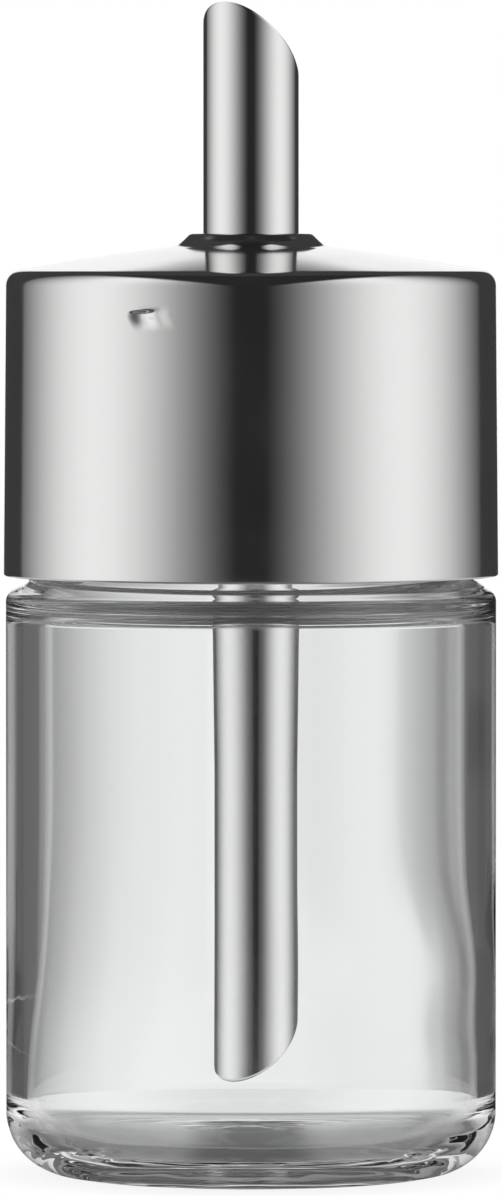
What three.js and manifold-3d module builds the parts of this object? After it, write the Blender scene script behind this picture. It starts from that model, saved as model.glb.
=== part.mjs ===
// Sugar dispenser with a flap in its spout: a thick glass jar, a screwed steel cap and a dosing tube through it.
// Millimetres, +Z up. The origin is the centre of the jar's underside, and the pouring lip points to -Y.

import * as THREE from "three";
import { mergeVertices } from "three/addons/utils/BufferGeometryUtils.js";
import Module from "manifold-3d";

const wasm = await Module();
wasm.setup();

// Jar
const jarRadius = 30.35;
const jarWall = 4.2;
const jarFloor = 5.6;
const jarHeelRadius = 7.8;
const jarShoulderHeight = 73.5;
const jarShoulderRounding = 2.4;
const puntRadius = 19;
const puntDepth = 0.7;
const cavityCornerRadius = 3;
const cavityShoulderDrop = 2.4;
const shoulderWidth = 4.75;
const neckHeight = 15;
const neckWall = 3.1;
const neckFillet = 0.8;
const rimRounding = 1.1;

// Wall of the cavity, from the top down: share of the cavity's height, share of the wall's thickness
const cavityWallShares = [
  [0.82, 1],
  [0.62, 1.01],
  [0.44, 1.07],
  [0.27, 0.93],
  [0.14, 0.69],
];
// Corner of the cavity's floor: shares of the cavity's radius, and of the height at which the corner starts
const floorCornerShares = [1.06, 0.35, 0.97, 0, 0.74];

// Steel cap
const capOverhang = 0.25;
const capGap = 0.6;
const capWall = 0.6;
const capSkirtHeight = 35.85;
const capTaper = 0.3;
const capCornerRadius = 2;
const domeRise = 2.85;
const domeBendShares = [0.62, 0.71];
const neckFootRadius = 9.1;
const neckConeHeight = 1.6;
const neckFootFillet = 1;
const neckEdgeRounding = 0.25;
const hemWidth = 1.3;

// Dent pressed in the cap, on the side of the pouring lip
const dentAzimuth = THREE.MathUtils.degToRad(9);
const dentTilt = THREE.MathUtils.degToRad(9);
const dentDrop = 3.95;
const dentDepth = 0.55;
const dentBulge = 1.6;
const dentLength = 6.4;
const dentHeight = 3.2;

// Moulded insert with the thread that screws on the neck, and the seal under it
const threadDepth = 1.2;
const threadClearance = 0.3;
const insertWall = 1.3;
const insertCeiling = 1.6;
const insertFlange = 1.4;
const plugDepth = 1.8;
const plugWall = 1.2;
const columnWall = 1.3;
const columnRibCount = 8;
const columnRibThickness = 1.2;
const gripRibCount = 24;
const gripRibThickness = 1;
const sealThickness = 1.9;
const sealMargin = 0.5;

// Bush in the cap's neck
const bushWall = 2;
const bushFlangeWidth = 3;
const bushFlangeThickness = 1.6;

// Dosing tube: it hangs in the jar and its upper end is the spout
const tubeRadius = 5.85;
const tubeNarrowing = 0.72;
const tubeWall = 0.6;
const tubeClearance = 0.1;
const spoutReach = 28.6;
const footClearance = 6.5;
const taperTop = 4.4;
const taperLength = 62;
const beadDrop = 8.8;
const beadRadius = 0.7;
const cutAngle = THREE.MathUtils.degToRad(45);

// Flap in the spout's mouth, on a pin across the tube
const hingeInset = 1.75;
const pinRadius = 0.45;
const pinClearance = 0.08;
const pinRecess = 0.05;
const flapThickness = 0.4;
const flapClearance = 0.3;
const flapRecess = 0.5;
const flapSwing = THREE.MathUtils.degToRad(35);
const barrelWall = 0.35;
const tabHalfWidth = 1.1;
const tabOverlap = 0.5;
const tabMargin = THREE.MathUtils.degToRad(2);

// Gap between pieces that rest on each other, and how far a cutter runs past what it cuts
const seatGap = 0.3;
const overrun = 1;

// Facets round each kind of piece, how far a profile's chords leave its curves, and how close two corners merge
const roundFacets = 60;
const tubeFacets = 40;
const pinFacets = 16;
const dentFacets = 24;
const curveSteps = 24;
const glassTolerance = 0.09;
const steelTolerance = 0.055;
const mergeTolerance = 0.0001;

// Heights and radii that follow from the sizes above
const neckRadius = jarRadius - shoulderWidth;
const neckBore = neckRadius - neckWall;
const rimHeight = jarShoulderHeight + neckHeight;
const cavityShoulder = jarShoulderHeight - cavityShoulderDrop;
const capBottom = jarShoulderHeight + capGap;
const capRadius = jarRadius + capOverhang;
const capShoulder = capBottom + capSkirtHeight;
const neckFoot = capShoulder + capCornerRadius + domeRise;
const neckTop = neckFoot + neckConeHeight;
const neckTopRadius = neckFootRadius - neckConeHeight;
const domeWidth = capRadius - capTaper - capCornerRadius - neckFootRadius;
const domeStartSlope = (domeRise * domeBendShares[1]) / (domeWidth * domeBendShares[0]);
const domeEndSlope = (domeRise * (1 - domeBendShares[1])) / (domeWidth * (1 - domeBendShares[0]));
const sealBottom = rimHeight + seatGap;
const sealTop = sealBottom + sealThickness;
const ceilingBottom = sealTop + seatGap;
const ceilingTop = ceilingBottom + insertCeiling;
const insertBore = neckRadius + threadDepth + threadClearance;
const beadHeight = neckTop - beadDrop;
const columnTop = beadHeight - beadRadius - seatGap;
const columnBore = tubeRadius + seatGap;
const spoutTip = neckTop + spoutReach;
const footTip = jarFloor + footClearance;
const tubeFootRadius = tubeRadius - tubeNarrowing;
const taperStart = neckTop - taperTop;
const taperEnd = taperStart - taperLength;

// Materials
const glass = new THREE.MeshStandardMaterial({
  color: 0xe9eeee,
  roughness: 0.04,
  metalness: 0,
  transparent: true,
  opacity: 0.35,
});
const polishedSteel = new THREE.MeshStandardMaterial({ color: 0xc9c9c7, roughness: 0.12, metalness: 1 });
const plainSteel = new THREE.MeshStandardMaterial({ color: 0xb4b4b2, roughness: 0.3, metalness: 1 });
const whitePlastic = new THREE.MeshStandardMaterial({ color: 0xdadad6, roughness: 0.5, metalness: 0 });
const greyPlastic = new THREE.MeshStandardMaterial({ color: 0x5c5d5e, roughness: 0.55, metalness: 0 });
const silicone = new THREE.MeshStandardMaterial({ color: 0xd6d8d4, roughness: 0.6, metalness: 0 });

// Solids

function solidOf(geometry) {
  const bare = geometry.index ? geometry.clone() : geometry;
  bare.deleteAttribute("normal");
  bare.deleteAttribute("uv");
  const merged = mergeVertices(bare, mergeTolerance);
  const triVerts = [];
  for (let i = 0; i < merged.index.count; i += 3) {
    const [a, b, c] = [0, 1, 2].map((k) => merged.index.getX(i + k));
    if (a !== b && b !== c && c !== a) {
      triVerts.push(a, b, c);
    }
  }
  return new wasm.Manifold(
    new wasm.Mesh({
      numProp: 3,
      vertProperties: merged.attributes.position.array,
      triVerts: new Uint32Array(triVerts),
    }),
  );
}

function geometryOf(solid) {
  const mesh = solid.getMesh();
  const geometry = new THREE.BufferGeometry();
  geometry.setAttribute("position", new THREE.BufferAttribute(mesh.vertProperties, 3));
  geometry.setIndex(new THREE.BufferAttribute(mesh.triVerts, 1));
  const flat = geometry.toNonIndexed();
  flat.computeVertexNormals();
  return flat;
}

// A profile of [radius, height] points, turned about Z. It ends on the axis or closes on itself.
function revolve(points, facets = roundFacets) {
  const profile = points.map((p) => new THREE.Vector2(p.x, p.y));
  const onAxis = profile[0].x === 0 && profile[profile.length - 1].x === 0;
  if (!onAxis) {
    profile.push(profile[0].clone());
  }
  return solidOf(new THREE.LatheGeometry(profile, facets).rotateX(Math.PI / 2));
}

// The points of a path that keep its chords within a tolerance of its curves
function pointsOf(path, tolerance) {
  const fine = path.getPoints(curveSteps);
  const keep = (first, last) => {
    const [a, b] = [fine[first], fine[last]];
    const chord = b.clone().sub(a);
    let [worst, at] = [tolerance, -1];
    for (let i = first + 1; i < last; i++) {
      const offset = fine[i].clone().sub(a);
      const away = chord.length() > 0 ? Math.abs(chord.cross(offset)) / chord.length() : offset.length();
      if (away > worst) {
        [worst, at] = [away, i];
      }
    }
    return at < 0 ? [b] : [...keep(first, at), ...keep(at, last)];
  };
  return [fine[0], ...keep(0, fine.length - 1)];
}

function outline(points) {
  return points.map(([x, y]) => new THREE.Vector2(x, y));
}

function disc(radius, bottom, top, facets = roundFacets) {
  return revolve(outline([[0, bottom], [radius, bottom], [radius, top], [0, top]]), facets);
}

function ring(inner, outer, bottom, top, facets = roundFacets) {
  return revolve(outline([[inner, bottom], [outer, bottom], [outer, top], [inner, top]]), facets);
}

// A rod along X through a point of the YZ plane
function crossRod(radius, length, y, z) {
  const rod = new THREE.CylinderGeometry(radius, radius, length, pinFacets);
  return solidOf(rod.rotateZ(Math.PI / 2).translate(0, y, z));
}

// Glass jar

function jarProfile() {
  const cavityRadius = jarRadius - jarWall;
  const cavityHeight = cavityShoulder - jarFloor;
  const lipRounding = rimRounding / 2;
  const p = new THREE.Path();
  p.moveTo(0, puntDepth);
  p.quadraticCurveTo(puntRadius / 2, puntDepth, puntRadius, 0);
  p.lineTo(jarRadius - jarHeelRadius, 0);
  p.absarc(jarRadius - jarHeelRadius, jarHeelRadius, jarHeelRadius, -Math.PI / 2, 0);
  p.absarc(
    jarRadius - jarShoulderRounding,
    jarShoulderHeight - jarShoulderRounding,
    jarShoulderRounding,
    0,
    Math.PI / 2,
  );
  p.absarc(neckRadius + neckFillet, jarShoulderHeight + neckFillet, neckFillet, -Math.PI / 2, -Math.PI, true);
  p.absarc(neckRadius - rimRounding, rimHeight - rimRounding, rimRounding, 0, Math.PI / 2);
  p.absarc(neckBore + lipRounding, rimHeight - lipRounding, lipRounding, Math.PI / 2, Math.PI);
  p.absarc(neckBore + lipRounding, cavityShoulder + lipRounding, lipRounding, Math.PI, 1.5 * Math.PI);
  p.absarc(
    cavityRadius - cavityCornerRadius,
    cavityShoulder - cavityCornerRadius,
    cavityCornerRadius,
    Math.PI / 2,
    0,
    true,
  );
  const wall = cavityWallShares.map(([height, thickness]) => [
    jarRadius - jarWall * thickness,
    jarFloor + cavityHeight * height,
  ]);
  p.splineThru(outline(wall));
  const cornerStart = wall[wall.length - 1][1] - jarFloor;
  const [steepR, steepZ, flatR, flatZ, endR] = floorCornerShares;
  p.bezierCurveTo(
    cavityRadius * steepR,
    jarFloor + cornerStart * steepZ,
    cavityRadius * flatR,
    jarFloor + cornerStart * flatZ,
    cavityRadius * endR,
    jarFloor,
  );
  p.lineTo(0, jarFloor);
  return pointsOf(p, glassTolerance);
}

function glassJar() {
  return revolve(jarProfile());
}

// Steel cap

// The cap's surface moved inwards by inset, closed on the axis below and above
function capBody(inset, bottom) {
  const corner = capCornerRadius - inset;
  const domeEdge = capShoulder + corner;
  const domeStart = neckFootRadius + domeWidth;
  const foot = neckFoot - inset;
  const cornerShift = inset * Math.tan(Math.PI / 8);
  const footRadius = neckFootRadius - cornerShift;
  const lipRadius = neckTopRadius - cornerShift;
  const p = new THREE.Path();
  p.moveTo(0, bottom);
  p.lineTo(capRadius - inset, bottom);
  p.lineTo(capRadius - inset, capBottom);
  p.absarc(domeStart, capShoulder, corner, 0, Math.PI / 2 - Math.atan(domeStartSlope));
  p.quadraticCurveTo(
    domeStart - domeWidth * domeBendShares[0],
    domeEdge + domeRise * domeBendShares[1],
    footRadius + neckFootFillet,
    foot - neckFootFillet * domeEndSlope,
  );
  p.quadraticCurveTo(footRadius, foot, footRadius - neckFootFillet, foot + neckFootFillet);
  p.lineTo(lipRadius + neckEdgeRounding, neckTop - inset - neckEdgeRounding);
  p.quadraticCurveTo(lipRadius, neckTop - inset, lipRadius - neckEdgeRounding, neckTop - inset);
  p.lineTo(0, neckTop - inset);
  return revolve(pointsOf(p, steelTolerance));
}

// An ellipsoid that dips into the cap's side by the dent's depth, grown all round by extra
function dentBody(extra) {
  const reach = dentBulge - dentDepth;
  const footprintShare = Math.sqrt(1 - (reach / dentBulge) ** 2);
  const height = capShoulder - dentDrop;
  const side = capRadius - (capTaper * (height - capBottom)) / capSkirtHeight;
  const ball = new THREE.SphereGeometry(1, dentFacets, dentFacets / 2).scale(
    dentLength / 2 / footprintShare + extra,
    dentBulge + extra,
    dentHeight / 2 / footprintShare + extra,
  );
  ball.rotateY(-dentTilt).translate(0, -(side + reach), height);
  return solidOf(ball.rotateZ(dentAzimuth));
}

function capShell() {
  const hollow = capBody(capWall, capBottom - overrun).subtract(dentBody(capWall));
  const hem = ring(capRadius - hemWidth, capRadius - capWall / 2, capBottom, capBottom + capWall);
  const bore = disc(tubeRadius + tubeClearance, neckTop - overrun - capWall, neckTop + overrun, tubeFacets);
  return capBody(0, capBottom).subtract(dentBody(0)).subtract(hollow).add(hem).subtract(bore);
}

function capInnerRadius(height) {
  return capRadius - capWall - (capTaper * (height - capBottom)) / capSkirtHeight;
}

// Insert: skirt with the thread's wall, ceiling with the plug lip, and the column round the tube

function threadInsert() {
  const flangeBottom = capBottom + capWall + seatGap;
  const flangeRadius = capInnerRadius(flangeBottom + insertFlange) - seatGap;
  const skirt = insertBore + insertWall;
  const plugRadius = neckBore - seatGap;
  const column = columnBore + columnWall;
  const body = revolve(
    outline([
      [insertBore, flangeBottom],
      [flangeRadius, flangeBottom],
      [flangeRadius, flangeBottom + insertFlange],
      [skirt, flangeBottom + insertFlange],
      [skirt, ceilingTop],
      [column, ceilingTop],
      [column, columnTop],
      [columnBore, columnTop],
      [columnBore, ceilingBottom],
      [plugRadius - plugWall, ceilingBottom],
      [plugRadius - plugWall, rimHeight - plugDepth],
      [plugRadius, rimHeight - plugDepth],
      [plugRadius, ceilingBottom],
      [insertBore, ceilingBottom],
    ]),
  );
  const parts = [body];
  const gripReach = capInnerRadius(ceilingTop) - seatGap;
  for (let i = 0; i < gripRibCount; i++) {
    const bottom = flangeBottom + insertFlange / 2;
    const inner = skirt - insertWall / 2;
    const rib = new THREE.BoxGeometry(gripReach - inner, gripRibThickness, ceilingTop - bottom);
    rib.translate((gripReach + inner) / 2, 0, (ceilingTop + bottom) / 2);
    parts.push(solidOf(rib.rotateZ((2 * Math.PI * (i + 0.5)) / gripRibCount)));
  }
  const ribFoot = ceilingTop - insertCeiling / 2;
  const ribInner = columnBore + columnWall / 2;
  const web = new THREE.Shape(
    outline([
      [ribInner, ribFoot],
      [skirt - insertWall, ribFoot],
      [skirt - insertWall, ceilingTop + insertCeiling / 2],
      [ribInner, columnTop - columnWall],
    ]),
  );
  for (let i = 0; i < columnRibCount; i++) {
    const rib = new THREE.ExtrudeGeometry(web, { depth: columnRibThickness, bevelEnabled: false });
    rib.translate(0, 0, -columnRibThickness / 2).rotateX(Math.PI / 2);
    parts.push(solidOf(rib.rotateZ((2 * Math.PI * i) / columnRibCount)));
  }
  return parts.reduce((whole, part) => whole.add(part));
}

function sealingRing() {
  return ring(neckBore, neckRadius + sealMargin, sealBottom, sealTop);
}

// Bush that centres the tube in the cap's neck

function neckBush() {
  const bottom = beadHeight + beadRadius + seatGap;
  const body = columnBore + bushWall;
  const flange = body + bushFlangeWidth;
  const underDome = (radius) => neckFoot - capWall - seatGap - domeEndSlope * (radius - neckFootRadius);
  const flangeTop = underDome(flange);
  const top = neckTop - capWall - seatGap;
  const coneGap = (capWall + seatGap) / Math.cos(Math.PI / 4);
  const coneAt = (radius) => neckTop - coneGap - (radius - neckTopRadius);
  return revolve(
    outline([
      [columnBore, bottom],
      [body, bottom],
      [body, flangeTop - bushFlangeThickness],
      [flange, flangeTop - bushFlangeThickness],
      [flange, flangeTop],
      [body, Math.min(underDome(body), coneAt(body))],
      [neckTopRadius - coneGap + capWall + seatGap, top],
      [columnBore, top],
    ]),
    tubeFacets,
  );
}

// Dosing tube: straight in the spout and the neck, tapering below, with a rolled bead that holds it in the cap

function tubeSide(inset, bottom, top) {
  const p = new THREE.Path();
  p.moveTo(tubeFootRadius - inset, bottom);
  p.lineTo(tubeFootRadius - inset, taperEnd);
  const share = (beadHeight - taperEnd) / (taperStart - taperEnd);
  const atBead = THREE.MathUtils.lerp(tubeFootRadius, tubeRadius, share) - inset;
  p.absarc(atBead, beadHeight, beadRadius, -Math.PI / 2, Math.PI / 2);
  p.lineTo(tubeRadius - inset, taperStart);
  p.lineTo(tubeRadius - inset, top);
  return pointsOf(p, steelTolerance);
}

// Half-space beyond a slanted plane: the plane crosses the axis at height and falls to +Y (up 1) or rises to +Y (up -1)
function slantCutter(height, up) {
  const size = 2 * (tubeRadius + spoutReach);
  const block = new THREE.BoxGeometry(size, size, size).translate(0, 0, (up * size) / 2);
  return solidOf(block.rotateX(-up * cutAngle).translate(0, 0, height));
}

const hingeOffset = tubeRadius - tubeWall - hingeInset;
const mouthHeight = spoutTip - tubeRadius * Math.tan(cutAngle);
const footHeight = footTip + tubeFootRadius * Math.tan(cutAngle);
const barrelRadius = pinRadius + pinClearance + barrelWall;
const pinDepth = flapRecess + barrelRadius;
const pinHeight = mouthHeight - hingeOffset * Math.tan(cutAngle) - pinDepth / Math.cos(cutAngle);

function spoutTube() {
  const outer = tubeSide(0, footTip - overrun, spoutTip + overrun);
  const inner = tubeSide(tubeWall, footTip - overrun, spoutTip + overrun);
  return revolve([...outer, ...inner.reverse()], tubeFacets)
    .subtract(slantCutter(mouthHeight, 1))
    .subtract(slantCutter(footHeight, -1))
    .subtract(crossRod(pinRadius + pinClearance, 2 * (tubeRadius + overrun), hingeOffset, pinHeight));
}

function hingePin() {
  const rod = crossRod(pinRadius, 2 * tubeRadius, hingeOffset, pinHeight);
  return rod.intersect(disc(tubeRadius - pinRecess, footTip, spoutTip, tubeFacets));
}

// Flap. In its own frame X runs along the pin, Y from the pin to the pouring lip, and Z out of the mouth.

// Widest half of the plate at a distance from the pin that clears the bore at every angle of the swing
function plateHalf(along) {
  const room = tubeRadius - tubeWall - flapClearance;
  const swingSteps = 14;
  let half = room;
  for (let i = 0; i <= swingSteps; i++) {
    const swing = (flapSwing * i) / swingSteps;
    const lean = cutAngle + swing;
    for (const out of [barrelRadius - flapThickness, barrelRadius]) {
      const y = hingeOffset - along * Math.cos(lean) + out * Math.sin(lean);
      const inBore = along * Math.sin(swing) + out * Math.cos(swing) < pinDepth;
      if (inBore) {
        half = Math.min(half, Math.sqrt(Math.max(room ** 2 - y ** 2, 0)));
      }
    }
  }
  return half;
}

function flapPlate() {
  const room = tubeRadius - tubeWall - flapClearance;
  const lowFace = barrelRadius - flapThickness;
  const length = (hingeOffset + room + lowFace * Math.sin(cutAngle)) / Math.cos(cutAngle);
  const stations = 18;
  const side = [];
  for (let i = 0; i <= stations; i++) {
    const along = length * Math.sin((Math.PI * i) / (2 * stations));
    side.push([Math.max(plateHalf(along), flapThickness / 2), along]);
  }
  const mirrored = side.map(([half, along]) => [-half, along]).reverse();
  const plate = new THREE.ExtrudeGeometry(new THREE.Shape(outline([...side, ...mirrored])), {
    depth: flapThickness,
    bevelEnabled: false,
  });
  return solidOf(plate.translate(0, 0, lowFace));
}

// Tab that meets the rim of the mouth's short side when the flap is fully open
function stopTab() {
  const bore = tubeRadius - tubeWall;
  const rimY = bore - hingeOffset;
  const rimZ = mouthHeight - bore * Math.tan(cutAngle) - pinHeight;
  const reach = Math.hypot(rimY, rimZ);
  const slack = Math.asin(flapThickness / 2 / reach);
  const lean = flapSwing + Math.atan2(rimZ, rimY) + slack + tabMargin;
  const inner = barrelRadius - barrelWall / 2;
  const tab = new THREE.BoxGeometry(2 * tabHalfWidth, flapThickness, reach + tabOverlap - inner);
  tab.translate(0, 0, (reach + tabOverlap + inner) / 2);
  return solidOf(tab.rotateX(Math.PI / 2 - cutAngle - lean));
}

function spoutFlap() {
  const room = tubeRadius - tubeWall - flapClearance;
  const barrelHalf = Math.sqrt(room ** 2 - (hingeOffset + barrelRadius) ** 2);
  const barrel = crossRod(barrelRadius, 2 * barrelHalf, 0, 0);
  const bore = crossRod(pinRadius + pinClearance, 2 * tubeRadius, 0, 0);
  return flapPlate().add(barrel).add(stopTab()).subtract(bore);
}

// Assembly

function piece(name, solid, material) {
  const mesh = new THREE.Mesh(geometryOf(solid), material);
  mesh.name = name;
  return mesh;
}

const dispenser = new THREE.Group();
dispenser.add(piece("glass_jar", glassJar(), glass));

const cap = new THREE.Group();
cap.add(piece("sealing_ring", sealingRing(), silicone));
cap.add(piece("cap_shell", capShell(), polishedSteel));
cap.add(piece("thread_insert", threadInsert(), whitePlastic));
cap.add(piece("neck_bush", neckBush(), greyPlastic));
cap.add(piece("spout_tube", spoutTube(), polishedSteel));
cap.add(piece("hinge_pin", hingePin(), plainSteel));

const flap = piece("spout_flap", spoutFlap(), plainSteel);
flap.position.set(0, hingeOffset, pinHeight);
flap.rotation.set(-cutAngle, 0, Math.PI);
cap.add(flap);
dispenser.add(cap);

export default dispenser;
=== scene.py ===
import math
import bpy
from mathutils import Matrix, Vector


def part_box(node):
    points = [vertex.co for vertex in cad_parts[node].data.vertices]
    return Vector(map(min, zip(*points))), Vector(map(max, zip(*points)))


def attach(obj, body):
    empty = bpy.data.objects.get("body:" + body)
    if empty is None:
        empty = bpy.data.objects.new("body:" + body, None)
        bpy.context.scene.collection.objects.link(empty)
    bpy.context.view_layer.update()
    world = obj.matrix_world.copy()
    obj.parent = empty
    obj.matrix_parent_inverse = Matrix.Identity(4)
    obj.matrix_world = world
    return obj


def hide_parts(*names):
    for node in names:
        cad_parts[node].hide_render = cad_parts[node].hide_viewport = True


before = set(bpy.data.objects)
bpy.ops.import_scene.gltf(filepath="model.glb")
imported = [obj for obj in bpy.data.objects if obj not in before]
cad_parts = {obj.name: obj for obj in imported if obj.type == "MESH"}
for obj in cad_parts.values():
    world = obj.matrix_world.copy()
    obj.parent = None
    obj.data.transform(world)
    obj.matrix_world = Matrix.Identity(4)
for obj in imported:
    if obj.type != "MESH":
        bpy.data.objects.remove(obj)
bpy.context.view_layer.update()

from types import SimpleNamespace

import bmesh
import bpy
from mathutils import Vector, noise

# Sugar dispenser: glass jar, polished steel cap, dosing tube with a flap in its mouth. Metres, +Z up.
# The frame gives the places and the overall sizes, each piece's dictionary gives the rest.
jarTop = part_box("glass_jar")[1]
ringLow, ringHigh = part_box("sealing_ring")
capLow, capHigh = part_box("cap_shell")
insertLow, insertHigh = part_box("thread_insert")
tubeLow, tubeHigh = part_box("spout_tube")
pinLow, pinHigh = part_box("hinge_pin")
hinge = (pinLow + pinHigh) / 2
threadLead = 0.004  # rise of the neck's screw thread in one turn
beadDepth = 0.0006  # how far the tube's rolled bead stands out
tubeRadius = tubeHigh.x - beadDepth
viewAngle = math.radians(34)  # from the front round to the camera; what leans, leans to the camera's right
tau = 2 * math.pi
samePoint = 1e-7  # points nearer than this are one point
hair = 1e-6  # slack where a place is compared with the size that it comes from
print("frame loaded")


# Outlines are lists of (radius, height) points

def arc(centre, radius, start, end, steps):
    points = []
    for i in range(steps + 1):
        angle = math.radians(start + (end - start) * i / steps)
        points.append((centre[0] + radius * math.cos(angle), centre[1] + radius * math.sin(angle)))
    return points


def bend(controls, steps):
    # runs from the first point to the last, drawn towards those between
    points = []
    for i in range(steps + 1):
        level = [Vector(p) for p in controls]
        while len(level) > 1:
            level = [a.lerp(b, i / steps) for a, b in zip(level, level[1:])]
        points.append(tuple(level[0]))
    return points


def smoothThrough(stops, steps):
    # runs smoothly through every stop
    ends = [stops[0], *stops, stops[-1]]
    points = []
    for i in range(len(stops) - 1):
        a, b, c, d = (Vector(p) for p in ends[i:i + 4])
        for step in range(steps):
            t = step / steps
            points.append(tuple(
                0.5 * (2 * b + (c - a) * t + (2 * a - 5 * b + 4 * c - d) * t ** 2
                       + (3 * b - a - 3 * c + d) * t ** 3)
            ))
    return points + [tuple(stops[-1])]


def outlineOf(*stretches, longest=1.0):
    # joins the stretches and splits what is longer than the longest step
    joined = []
    for point in (p for stretch in stretches for p in stretch):
        if joined and math.dist(joined[-1], point) < samePoint:
            continue
        if joined and math.dist(joined[-1], point) > longest:
            count = math.ceil(math.dist(joined[-1], point) / longest)
            a, b = Vector(joined[-1]), Vector(point)
            joined += [tuple(a.lerp(b, i / count)) for i in range(1, count)]
        joined.append(tuple(point))
    return joined


def evenAngles(count):
    return [tau * i / count for i in range(count)]


def linked(name, data):
    made = bpy.data.objects.new(name, data)
    bpy.context.collection.objects.link(made)
    return made


def meshObject(name, vertices, faces):
    mesh = bpy.data.meshes.new(name)
    mesh.from_pydata([tuple(v) for v in vertices], [], faces)
    return linked(name, mesh)


def asDrawn(r, z, angle):
    return r, z


def turned(name, outline, angles, shape=asDrawn):
    # turns an outline about Z. The outline ends on the axis or closes on itself, and shape may move a point.
    onAxis = outline[0][0] < samePoint and outline[-1][0] < samePoint
    rows = outline[1:-1] if onAxis else outline
    vertices = []
    for r, z in rows:
        for angle in angles:
            newR, newZ = shape(r, z, angle)
            vertices.append((newR * math.cos(angle), newR * math.sin(angle), newZ))
    count = len(angles)
    faces = []
    for row in range(len(rows) - (1 if onAxis else 0)):
        a, b = row * count, (row + 1) % len(rows) * count
        for i in range(count):
            j = (i + 1) % count
            faces.append((a + i, a + j, b + j, b + i))
    if onAxis:
        for pole, row in ((outline[0], 0), (outline[-1], len(rows) - 1)):
            top = len(vertices)
            vertices.append((0, 0, shape(0, pole[1], 0)[1]))
            faces += [(top, row * count + i, row * count + (i + 1) % count) for i in range(count)]
    return meshObject(name, vertices, faces)


def settle(piece):
    # keeps what the modifiers make as the piece's own plain mesh
    graph = bpy.context.evaluated_depsgraph_get()
    plain = bpy.data.meshes.new_from_object(piece.evaluated_get(graph), depsgraph=graph)
    piece.modifiers.clear()
    piece.data = plain


def finishPiece(piece, body, material, nodes=(), sharpAngle=40):
    # closed, smooth and facing outwards, then hung on its body's empty, with the CAD parts it stands for
    # hidden
    edit = bmesh.new()
    edit.from_mesh(piece.data)
    bmesh.ops.remove_doubles(edit, verts=edit.verts, dist=samePoint)
    bmesh.ops.recalc_face_normals(edit, faces=edit.faces)
    edit.to_mesh(piece.data)
    edit.free()
    piece.data.shade_smooth()
    piece.data.set_sharp_from_angle(angle=math.radians(sharpAngle))
    piece.data.materials.clear()
    piece.data.materials.append(material)
    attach(piece, body)
    if nodes:
        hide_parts(*nodes)


def easeStep(value, low, high):
    t = min(max((value - low) / (high - low), 0), 1)
    return t * t * (3 - 2 * t)


def easedBetween(stops, value):
    # eases from stop to stop, given as (place, level)
    level = stops[0][1]
    for (start, before), (end, after) in zip(stops, stops[1:]):
        level += (after - before) * easeStep(value, start, end)
    return level


# Node helpers for shaders, the world and Geometry Nodes alike

def join(tree, value, socket):
    if isinstance(value, bpy.types.NodeSocket):
        tree.links.new(value, socket)
    else:
        socket.default_value = value


def addNode(tree, kind, inputs):
    # gives back the new node's first output
    node = tree.nodes.new(kind)
    for key, value in inputs.items():
        join(tree, value, node.inputs[key])
    return node.outputs[0]


def calc(tree, operation, *values):
    node = tree.nodes.new("ShaderNodeMath")
    node.operation = operation
    for value, socket in zip(values, node.inputs):
        join(tree, value, socket)
    return node.outputs[0]


def product(tree, first, *others):
    for other in others:
        first = calc(tree, "MULTIPLY", first, other)
    return first


def mapped(tree, value, low, high, start=0.0, end=1.0, ease="SMOOTHSTEP"):
    node = tree.nodes.new("ShaderNodeMapRange")
    node.interpolation_type = ease
    for given, socket in zip((value, low, high, start, end), node.inputs):
        join(tree, given, socket)
    return node.outputs[0]


def faded(tree, value, ends):
    # 1 before the first end, 0 after the second
    return mapped(tree, value, *ends, 1.0, 0.0)


def mixed(tree, factor, first, second):
    node = tree.nodes.new("ShaderNodeMix")
    node.data_type = "FLOAT"
    for given, socket in zip((factor, first, second), (node.inputs[0], node.inputs[2], node.inputs[3])):
        join(tree, given, socket)
    return node.outputs[0]


def partsOf(tree, vector):
    node = tree.nodes.new("ShaderNodeSeparateXYZ")
    join(tree, vector, node.inputs[0])
    return node.outputs


def xyz(tree, x, y, z):
    return addNode(tree, "ShaderNodeCombineXYZ", {"X": x, "Y": y, "Z": z})


def places(tree):
    return tree.nodes.new("ShaderNodeTexCoord").outputs["Object"]


def stretched(tree, scale):
    return addNode(tree, "ShaderNodeMapping", {"Vector": places(tree), "Scale": scale})


def mottle(tree, vector, scale, detail=3.0, roughness=0.5):
    inputs = {"Vector": vector, "Scale": scale, "Detail": detail, "Roughness": roughness}
    return addNode(tree, "ShaderNodeTexNoise", inputs)


def bumped(tree, shader, height, depth, strength):
    normal = addNode(tree, "ShaderNodeBump", {"Strength": strength, "Distance": depth, "Height": height})
    join(tree, normal, shader.inputs["Normal"])


def roughened(tree, shader, pattern, span):
    join(tree, mapped(tree, pattern, *noiseRange, *span), shader.inputs["Roughness"])


def newMaterial(name, colour, **sockets):
    material = bpy.data.materials.new(name)
    material.use_nodes = True
    shader = material.node_tree.nodes["Principled BSDF"]
    shader.inputs["Base Color"].default_value = (*colour, 1)
    for key, value in sockets.items():
        shader.inputs[key.replace("_", " ")].default_value = value
    material.diffuse_color = (*colour, 1)
    return material, material.node_tree, shader


# Materials

noiseRange = (0.3, 0.7)  # nearly all of a noise pattern lies between these
steelLook = {
    "colour": (0.79, 0.79, 0.785),
    "roughness": (0.07, 0.13),  # lowest and highest
    "smudgeScale": 45,
    "grainPerMetre": 5200,  # fine rings left by the polishing mop
    "alongShare": 0.02,  # how fast the grain changes along its rings, to how fast across
    "grainDepth": 0.0000006,
    "bumpStrength": 0.25,
}


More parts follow.
